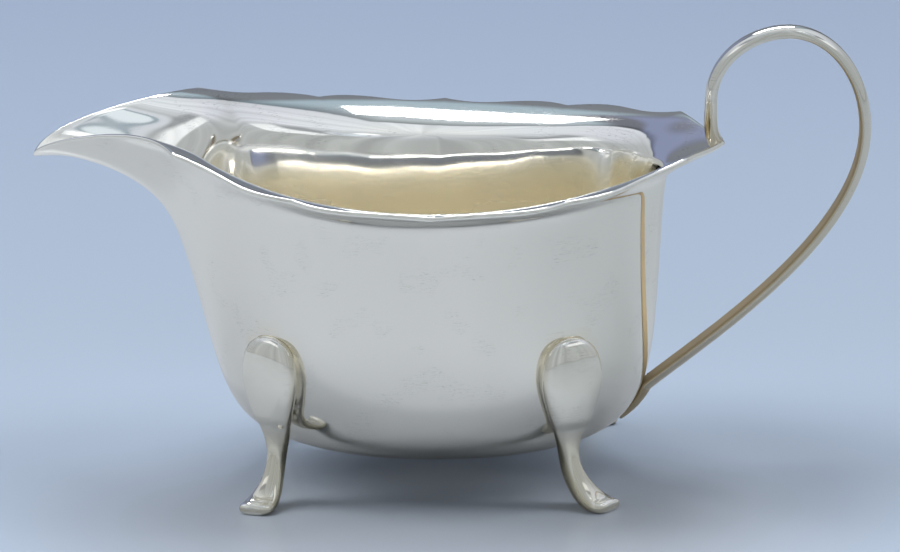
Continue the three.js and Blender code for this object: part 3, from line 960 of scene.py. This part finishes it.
# Darker floor colours in the silver, painted shade towards the handle's side and close round the
# jug
FLOOR_MIRRORED_RIGHT_SHADE = (0.42, 0.458, 0.482)
FLOOR_MIRRORED_CLOSE_SHADE = (0.43, 0.46, 0.5)
FLOOR_ROUGHNESS = 0.22
FLOOR_SHEEN = 0.3


def floor_seen(nodes, x, y):
    """Colour of the floor to the camera: bluish, paler in front, partly the floor's own tone and
    partly painted light that lifts the jug's shade there, and greyer just before the jug, where the
    grey is painted shade.
    """
    # Paler towards the front, partly painted light that lifts the jug's shade there
    seen = nodes.ramp(
        nodes.span(y, FLOOR_SPAN, (0, 1)),
        [
            (0.0, (0.53, 0.64, 0.8)),
            (0.12, (0.47, 0.565, 0.715)),
            (0.3, (0.44, 0.54, 0.685)),
            (1.0, (0.37, 0.455, 0.63)),
        ],
    )
    ahead = nodes.math("MULTIPLY", y, -1.0)
    # Painted shade: the floor just in front of the jug is mixed towards the grey of its shade
    shade_share = nodes.product(
        nodes.ease(nodes.math("ABSOLUTE", x), *SHADE_GREY_SIDES),
        nodes.ease(ahead, *SHADE_GREY_START),
        nodes.ease(ahead, *SHADE_GREY_END),
        SHADE_GREY_SHARE,
    )
    return nodes.blend(shade_share, seen, FLOOR_SHADE_GREY)


def floor_mirrored(nodes, x, y):
    """Colour of the floor in the silver: plainer, with painted shade that makes it a little darker
    close round the jug and towards the handle's side.
    """
    # Painted shade: the floor in the silver darkens towards the handle's side
    right_shaded = nodes.blend(nodes.ease(x, *RIGHT_SHADE_END), FLOOR_MIRRORED, FLOOR_MIRRORED_RIGHT_SHADE)
    # Painted shade: the floor in the silver is darker close round the jug
    aside = nodes.math("SUBTRACT", nodes.math("ABSOLUTE", x), CLOSE_SHADE_WIDENING)
    distance = nodes.math("MAXIMUM", aside, nodes.math("MULTIPLY", y, -1.0))
    return nodes.blend(nodes.ease(distance, *CLOSE_SHADE_EDGE), right_shaded, FLOOR_MIRRORED_CLOSE_SHADE)


def make_floor():
    """A wide pale table top, bluish to the eye and plainer where the silver mirrors it."""
    corners = [(-FLOOR_REACH, -FLOOR_REACH, 0), (FLOOR_REACH, -FLOOR_REACH, 0)]
    corners += [(FLOOR_REACH, FLOOR_REACH, 0), (-FLOOR_REACH, FLOOR_REACH, 0)]
    mesh = bpy.data.meshes.new("floor")
    mesh.from_pydata(corners, [], [(0, 1, 2, 3)])
    floor = bpy.data.objects.new("floor", mesh)
    bpy.context.collection.objects.link(floor)
    material = bpy.data.materials.new("floor_paper")
    nodes = Nodes(material)
    place = nodes.add("ShaderNodeTexCoord").outputs["Object"]
    parts = nodes.add("ShaderNodeSeparateXYZ", {0: place}).outputs
    straight = nodes.add("ShaderNodeLightPath").outputs["Is Camera Ray"]
    colour = nodes.blend(
        straight,
        floor_mirrored(nodes, parts["X"], parts["Y"]),
        floor_seen(nodes, parts["X"], parts["Y"]),
    )
    shader = nodes.add(
        "ShaderNodeBsdfPrincipled",
        {
            "Base Color": colour,
            "Roughness": FLOOR_ROUGHNESS,
            "Specular IOR Level": FLOOR_SHEEN,
        },
    )
    nodes.add("ShaderNodeOutputMaterial", {"Surface": shader.outputs["BSDF"]})
    mesh.materials.append(material)


# Metres from the jug
LAMP_DISTANCE = 2

# Azimuth and elevation in degrees, width and height in metres, and radiance
WINDOW = (-171, 53, 1.0, 0.42, 11.5)
FLOOR_LAMPS = {
    "back_box": (180, 71, 0.5, 1.4, 7.6),
    "left_box": (-95, 48, 0.8, 1.8, 5.6),
    "right_box": (97, 46, 0.8, 1.8, 3.5),
    "front_box": (0, 32, 1.2, 0.8, 1.1),
}


def soft_box(name, azimuth, elevation, width, height, radiance):
    """A flat lamp that faces the jug, from the camera's side at an azimuth of 0 degrees."""
    out = towards(math.radians(azimuth), math.radians(elevation))
    lamp = bpy.data.lights.new(name, "AREA")
    lamp.shape = "RECTANGLE"
    lamp.size = width
    lamp.size_y = height
    lamp.energy = radiance * math.pi * width * height
    holder = bpy.data.objects.new(name, lamp)
    holder.location = out * LAMP_DISTANCE
    holder.rotation_mode = "QUATERNION"
    holder.rotation_quaternion = out.to_track_quat("Z", "Y")
    holder.visible_camera = False
    bpy.context.collection.objects.link(holder)
    return holder


def make_lamps():
    """A window that shows in the silver alone, and soft boxes that light the floor alone."""
    soft_box("window_box", *WINDOW).visible_diffuse = False
    for name, setting in FLOOR_LAMPS.items():
        soft_box(name, *setting).visible_glossy = False


DEGREES = 180 / math.pi
LEAST_BEHIND = 0.001


class Sky(Nodes):
    """Node tree of the world, with the direction that a ray leaves in.

    height is 0 at the horizon and 1 overhead, turn is in degrees from straight behind the jug,
    across and upward are places on an upright plane one unit behind it.
    """

    def __init__(self, world):
        super().__init__(world)
        self.out = self.add("ShaderNodeTexCoord").outputs["Generated"]
        parts = self.add("ShaderNodeSeparateXYZ", {0: self.out}).outputs
        self.height = self.math("DIVIDE", self.math("ARCSINE", parts["Z"]), math.pi / 2)
        self.turn = self.math("ARCTAN2", parts["X"], parts["Y"])
        self.turn = self.math("MULTIPLY", self.turn, DEGREES)
        behind = self.math("MAXIMUM", parts["Y"], LEAST_BEHIND)
        self.across = self.math("DIVIDE", parts["X"], behind)
        self.upward = self.math("DIVIDE", parts["Z"], behind)

    def colours(self, stops):
        """Colours by elevation in degrees."""
        return self.ramp(self.height, [(degrees / 90, colour) for degrees, colour in stops])

    def degrees_from(self, direction):
        inputs = {0: self.out, 1: direction}
        cosine = self.add("ShaderNodeVectorMath", inputs, operation="DOT_PRODUCT").outputs["Value"]
        return self.math("MULTIPLY", self.math("ARCCOSINE", cosine), DEGREES)


# Edges in degrees from straight behind, and as shares of the way up
FRONT_TO_SIDE = (122, 78)
STRIP_BACK = (88, 100)
STRIP_FRONT = (140, 128)
STRIP_FOOT = (0.36, 0.39)
STRIP_TOP = (0.66, 0.6)
FOLDS_PER_DEGREE = 0.09
FOLD_NOISE = (0.3, 0.7)
FOLD_SHADE = (0.84, 1.12)


def tent_walls(sky):
    """Pale cloth all round, brighter at the sides, with bright strips left and right in front."""
    front = sky.colours([
        (0, (0.44, 0.465, 0.47)),
        (40, (0.44, 0.47, 0.48)),
        (58, (0.47, 0.5, 0.54)),
        (70, (0.54, 0.58, 0.62)),
        (80, (0.6, 0.63, 0.66)),
        (90, (0.66, 0.69, 0.72)),
    ])
    side = sky.colours([
        (0, (0.44, 0.465, 0.47)),
        (24, (0.47, 0.5, 0.53)),
        (38, (0.64, 0.68, 0.76)),
        (52, (0.72, 0.76, 0.84)),
        (66, (0.74, 0.8, 0.87)),
        (80, (0.8, 0.84, 0.87)),
        (90, (0.66, 0.69, 0.72)),
    ])
    strip = sky.colours([
        (45, (0.92, 0.96, 1.0)),
        (48.6, (0.34, 0.36, 0.39)),
    ])
    aside = sky.math("ABSOLUTE", sky.turn)
    on_strip = sky.product(
        sky.ease(sky.height, *STRIP_FOOT),
        sky.ease(sky.height, *STRIP_TOP),
        sky.ease(aside, *STRIP_BACK),
        sky.ease(aside, *STRIP_FRONT),
    )
    walls = sky.blend(sky.ease(aside, *FRONT_TO_SIDE), front, side)
    walls = sky.blend(on_strip, walls, strip)
    folds = sky.add(
        "ShaderNodeTexNoise",
        {"W": sky.math("MULTIPLY", sky.turn, FOLDS_PER_DEGREE), "Scale": 1.0, "Detail": 3.0},
        noise_dimensions="1D",
    ).outputs["Fac"]
    return sky.scaled(walls, sky.span(folds, FOLD_NOISE, FOLD_SHADE))


# Directions, and radii in degrees
DISH = (0.359, -0.359, 0.862)
DISH_HALO = (11, 8)
DISH_FACE = (5, 4)
RING_RADIUS = 4.8
RING_EDGE = (1.0, 0.3)
SPOTLIGHT = (0.274, -0.23, 0.934)
SPOTLIGHT_EDGE = (5.5, 4)
HALO = (0.64, 0.69, 0.76)
DISH_COLOUR = (0.76, 0.85, 0.92)
RING_COLOUR = (0.26, 0.33, 0.39)
SPOT_COLOUR = (1.1, 1.15, 1.2)


def with_lamps(sky, tent):
    """A round dish with a dark ring, and a spotlight, both high in front of the handle."""
    gap = sky.degrees_from(DISH)
    tent = sky.blend(sky.ease(gap, *DISH_HALO), tent, HALO)
    tent = sky.blend(sky.ease(gap, *DISH_FACE), tent, DISH_COLOUR)
    off_ring = sky.math("ABSOLUTE", sky.math("SUBTRACT", gap, RING_RADIUS))
    tent = sky.blend(sky.ease(off_ring, *RING_EDGE), tent, RING_COLOUR)
    return sky.blend(sky.ease(sky.degrees_from(SPOTLIGHT), *SPOTLIGHT_EDGE), tent, SPOT_COLOUR)


# The panel's edges on the upright plane one unit behind the jug
PANEL_RIGHT = 0.51
PANEL_LEFT = -1.2
PANEL_TOP = 2.6
PANEL_TOP_LEAN = 0.4
PANEL_EDGE = (0.0, 0.05)
PANEL_MIDDLE = (0.03, 0.3)
PANEL_EDGE_DIMNESS = 0.5
SHADE_EDGE = (-0.28, -0.42)
SHADE_TOP = (0.56, 0.5)
SHADE_COLOUR = (0.17, 0.18, 0.22)
VIOLET_EDGE = (-0.3, -0.5)
VIOLET_TOP = (0.45, 0.41)
VIOLET_COLOUR = (0.25, 0.29, 0.44)


def with_panel(sky, tent):
    """A dim panel upright behind the jug, darker and more violet towards its left."""
    panel = sky.colours([
        (0, (0.3, 0.36, 0.46)),
        (6, (0.18, 0.2, 0.24)),
        (30, (0.2, 0.22, 0.25)),
        (36, (0.38, 0.49, 0.58)),
        (42, (0.39, 0.49, 0.57)),
        (48, (0.38, 0.47, 0.54)),
        (60, (0.5, 0.56, 0.62)),
        (66, (0.5, 0.56, 0.6)),
        (90, (0.5, 0.55, 0.6)),
    ])
    shade = sky.product(sky.ease(sky.across, *SHADE_EDGE), sky.ease(sky.height, *SHADE_TOP))
    panel = sky.blend(shade, panel, SHADE_COLOUR)
    violet = sky.product(sky.ease(sky.across, *VIOLET_EDGE), sky.ease(sky.height, *VIOLET_TOP))
    panel = sky.blend(violet, panel, VIOLET_COLOUR)
    from_right = sky.math("SUBTRACT", PANEL_RIGHT, sky.across)
    from_left = sky.math("SUBTRACT", sky.across, PANEL_LEFT)
    from_top = sky.math("SUBTRACT", PANEL_TOP, sky.upward)
    from_top = sky.math("MULTIPLY", from_top, PANEL_TOP_LEAN)
    inside = sky.math("MINIMUM", sky.math("MINIMUM", from_right, from_left), from_top)
    dim = sky.span(sky.ease(inside, *PANEL_MIDDLE), (0, 1), (PANEL_EDGE_DIMNESS, 1))
    return sky.blend(sky.ease(inside, *PANEL_EDGE), tent, sky.scaled(panel, dim))


# Share of the tent's brightness that lights matt things
AMBIENT = 0.06
BACKGROUND = (0.37, 0.455, 0.63)


def make_world():
    """A pale tent that the silver mirrors, faint as a light, with a plain bluish background."""
    world = bpy.data.worlds.new("tent")
    bpy.context.scene.world = world
    sky = Sky(world)
    tent = with_panel(sky, with_lamps(sky, tent_walls(sky)))
    path = sky.add("ShaderNodeLightPath").outputs
    tent = sky.scaled(tent, sky.span(path["Is Glossy Ray"], (0, 1), (AMBIENT, 1)))
    colour = sky.blend(path["Is Camera Ray"], tent, BACKGROUND)
    background = sky.add("ShaderNodeBackground", {"Color": colour})
    sky.add("ShaderNodeOutputWorld", {"Surface": background.outputs[0]})


make_jug()
make_camera()
make_floor()
make_world()
make_lamps()
bpy.context.scene.view_settings.view_transform = "Standard"
